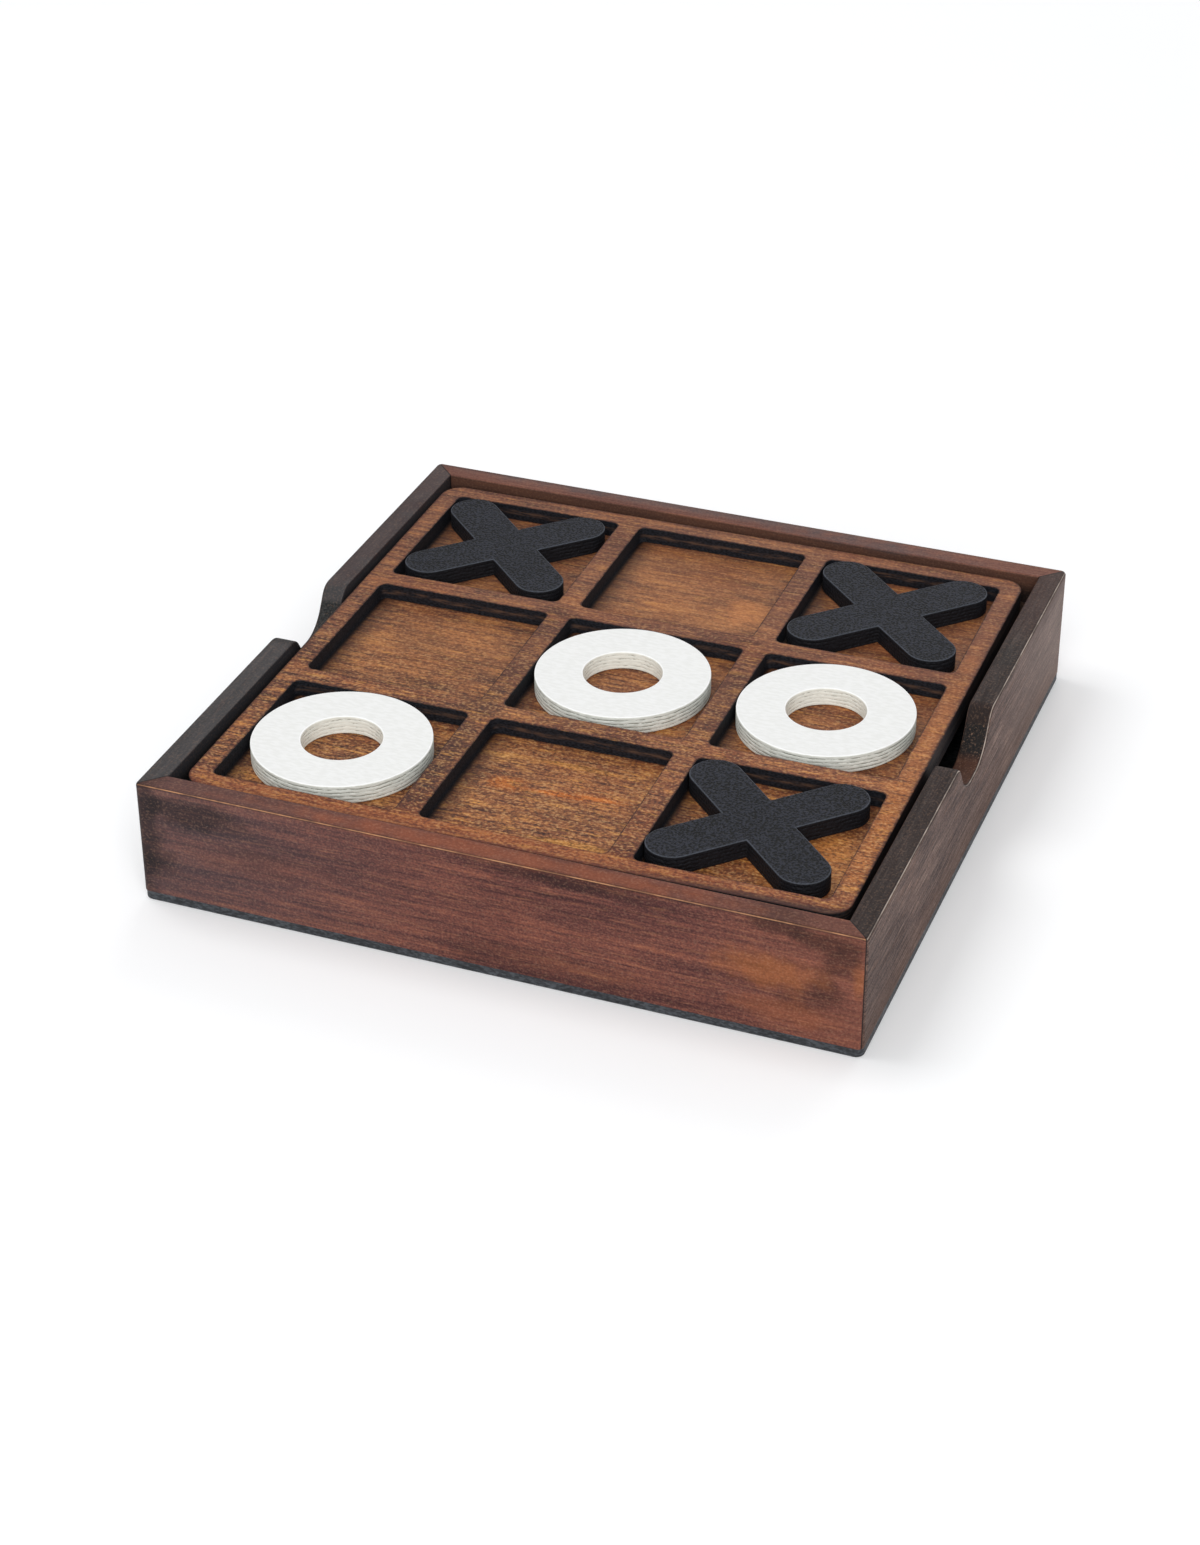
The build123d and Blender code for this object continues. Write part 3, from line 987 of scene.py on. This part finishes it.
def ring_blank():
    """Points about the origin, the way each faces, how torn its side is, and the faces."""
    points, ways, torn = [], [], []
    for radius, way, roughness in ((ring_radius, 1, 1.0), (bore_radius, -1, 0.65)):
        for i in range(round_steps):
            turn = 2 * math.pi * i / round_steps
            points.append((radius * math.cos(turn), radius * math.sin(turn)))
            ways.append((way * math.cos(turn), way * math.sin(turn)))
            torn.append(roughness)
    n = round_steps
    return points, ways, torn, [(i, (i + 1) % n, n + (i + 1) % n, n + i) for i in range(n)]


print("a ring's blank has", len(ring_blank()[0]), "points")

# %% [markdown]
# A cross's blank is two crossed bars with half-round ends. Going round, each arm is a straight
# side outwards, a half circle, and a straight side back. In each inner corner the way it faces is
# longer than one, so that both neighbouring sides step in by the same amount.

# %% A cross's blank
arm_radius = 6.8
arm_reach = 16.5               # from the middle to the centre of an arm's end, along x and y
side_steps = 12
end_steps = 26


def unit(turn):
    """The direction at an angle."""
    return Vector((math.cos(turn), math.sin(turn)))


def cross_blank():
    """The same for a cross, whose outline is one face."""
    points, ways = [], []
    for arm in range(4):
        middle = math.pi / 4 + arm * math.pi / 2
        end = unit(middle) * arm_reach * math.sqrt(2)
        for side in (-1, 1):
            corner = unit(middle + side * math.pi / 4) * arm_radius * math.sqrt(2)
            facing = unit(middle + side * math.pi / 2)
            run = [corner.lerp(end + facing * arm_radius, i / side_steps) for i in range(side_steps)]
            if side == -1:
                points += run
                ways += [corner.normalized() * math.sqrt(2)] + [facing] * (side_steps - 1)
                start = middle - math.pi / 2
                half_round = [unit(start + math.pi * i / end_steps) for i in range(end_steps + 1)]
                points += [end + way * arm_radius for way in half_round]
                ways += half_round
            else:
                points += run[:0:-1]
                ways += [facing] * (side_steps - 1)
    return points, ways, [1.0] * len(points), [tuple(range(len(points)))]


print("a cross's blank has", len(cross_blank()[0]), "points")

# %% [markdown]
# The paint itself is matt. White covers well on the faces, and on the cut sides it leaves fine
# grey fibres and darker glue lines. Black sinks into the birch, so that its faces keep a
# leathery grain and look bluish where the light grazes them. The sides read the attributes that
# the pieces carry: glue for the lines, and torn for how much the fibres stand out.


# %% Paint on plywood
def painted_side(tree, mm, seed, sides, lines, fibres):
    """The colour of a cut side under paint."""
    glue = add(tree, "Attribute", take="Fac", attribute_name="glue", attribute_type="GEOMETRY")
    cut = add(tree, "Attribute", take="Fac", attribute_name="torn", attribute_type="GEOMETRY")
    # Torn fibres make the glue lines jagged, and break them up
    line = add(tree, "Math MULTIPLY_ADD", flecks(tree, mm, (0.9, 0.9, 0.3), seed + 5, 2.0), 1.3, glue)
    fibre = crisp(tree, mm, (1.8, 1.8, 0.25), seed + 2, 2.0)
    colour = lay(tree, sides, fibres, fibre, cut, 0.45)
    return lay(tree, colour, lines, (line, 1.0, 1.6))


def paint_material(name, seed, top, sides, lines, fibres, edge, mottle, relief, roughness):
    """Matt paint on a ply piece.

    top is the two colours of its faces, mixed by a mottle of a given size, and edge is the colour
    and strength of a painted highlight on the eased edge. relief is in millimetres.
    """
    material, tree, mm = new_tree(name)
    soft = crisp(tree, mm, mottle, seed + 3, 1.0)
    broad = flecks(tree, mm, (16, 9, 9), seed + 4, 2.0)
    top_colour = lay(tree, *top, layered(tree, (soft, 1.0), (broad, 0.5)))
    upright = add(tree, "SeparateXYZ", add(tree, "TexCoord", take="Normal"), take="Z")
    upright = add(tree, "Math ABSOLUTE", upright)
    side_colour = painted_side(tree, mm, seed, sides, lines, fibres)
    colour = lay(tree, top_colour, side_colour, (upright, 0.55, 0.9, 1.0, 0.0))
    # A painted highlight on the eased edge, where it would catch the light
    colour = lay(tree, colour, edge[0], (upright, 0.5, 0.7), (upright, 0.9, 0.99, 1.0, 0.0), edge[1])
    finish_dry(tree, colour, soft, roughness, gloss=0.2, depth=relief)
    return material


# Brushed white paint: covers the faces, and sinks into the cut sides
white_paint = paint_material(
    "white paint on plywood", 110.0, top=("#e5e5e3", "#dfdfdc"), sides="#f9faf1", lines="#a0a196",
    fibres="#b8baad", edge=("#ffffff", 0.5), mottle=(2.4, 0.9, 0.9), relief=0.02, roughness=0.55)
# Thin black paint: the birch's grain still stands up through it
black_paint = paint_material(
    "black paint on plywood", 120.0, top=("#000001", "#262831"), sides="#151519", lines="#08080a",
    fibres="#212126", edge=("#6e747e", 0.28), mottle=(0.6, 0.8, 0.8), relief=0.26, roughness=0.62)
print("made:", white_paint.name, "and", black_paint.name)

# %% [markdown]
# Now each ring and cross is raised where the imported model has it, turned with the board if it
# lies on it. The modifier's inputs are set before anything is evaluated, its result becomes the
# piece's own mesh, and the modifier is taken off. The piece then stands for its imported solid.


# %% Rings and crosses
def make_piece(name, blank, seed, finish, turn):
    """Builds the piece for a CAD node from its blank, and lets it stand for that node."""
    low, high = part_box(name)
    centre = (Vector(low) + Vector(high)) / 2
    place = Matrix.Translation((centre.x, centre.y, low[2])) @ Matrix.Rotation(turn, 4, "Z")
    points, ways, torn, faces = blank
    mesh = bpy.data.meshes.new(name + " blank")
    mesh.from_pydata([place @ Vector((x / 1000, y / 1000, 0)) for x, y in points], [], faces)
    turned = place.to_3x3()
    outward = [part for x, y in ways for part in turned @ Vector((x, y, 0))]
    mesh.attributes.new("outward", "FLOAT_VECTOR", "POINT").data.foreach_set("vector", outward)
    mesh.attributes.new("torn", "FLOAT", "POINT").data.foreach_set("value", torn)
    piece = bpy.data.objects.new(name + "_painted", mesh)
    bpy.context.scene.collection.objects.link(piece)
    raising = piece.modifiers.new("plies", "NODES")
    raising.node_group = stack
    # Lengths in metres. Five plies make a piece, and 44 levels show its ridges smoothly
    sizes = {"Height": high[2] - low[2], "Plies": 5.0, "Levels": 44, "Ease": 0.00035, "Groove": 0.00009,
             "Waver": 1.3, "Seed": seed, "Finish": finish}
    for socket in stack.interface.items_tree:
        if socket.name in sizes:
            raising[socket.identifier] = sizes[socket.name]
    bpy.context.view_layer.update()
    raised = piece.evaluated_get(bpy.context.evaluated_depsgraph_get())
    solid = bpy.data.meshes.new_from_object(raised)
    piece.modifiers.clear()
    piece.data = solid
    solid.materials.clear()
    solid.materials.append(finish)
    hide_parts(name)
    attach(piece, name)
    return piece


kinds = {"ring": (ring_blank(), white_paint), "cross": (cross_blank(), black_paint)}
for number, name in enumerate(sorted(frame["nodes"])):
    kind = name.split("_")[0]
    if kind in kinds:
        blank, paint = kinds[kind]
        made = make_piece(name, blank, float(number), paint, 0.0 if "spare" in name else board_turn)
        print(made.name, len(made.data.polygons), "faces")

# %% [markdown]
# The tray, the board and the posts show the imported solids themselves, whose shape is right, and
# they only need their materials. Each wall has its own, and the rest go by the record's slots.

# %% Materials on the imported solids
by_slot = {"board_wood": grid_material, "floor_wood": floor_material, "white_paint": white_paint,
           "black_paint": black_paint, "base_wood": base_material, "post_wood": post_material}
by_node = {"tray_wall_front": wall_front, "tray_wall_back": wall_back,
           "tray_wall_right": wall_right, "tray_wall_left": wall_left}
slots = {part["node"]: part["material_slot"] for part in frame["record"]["subparts"]}
for name, node in frame["nodes"].items():
    node.data.materials.clear()
    node.data.materials.append(by_node.get(name) or by_slot[slots[name]])
print("materials on", len(frame["nodes"]), "nodes")
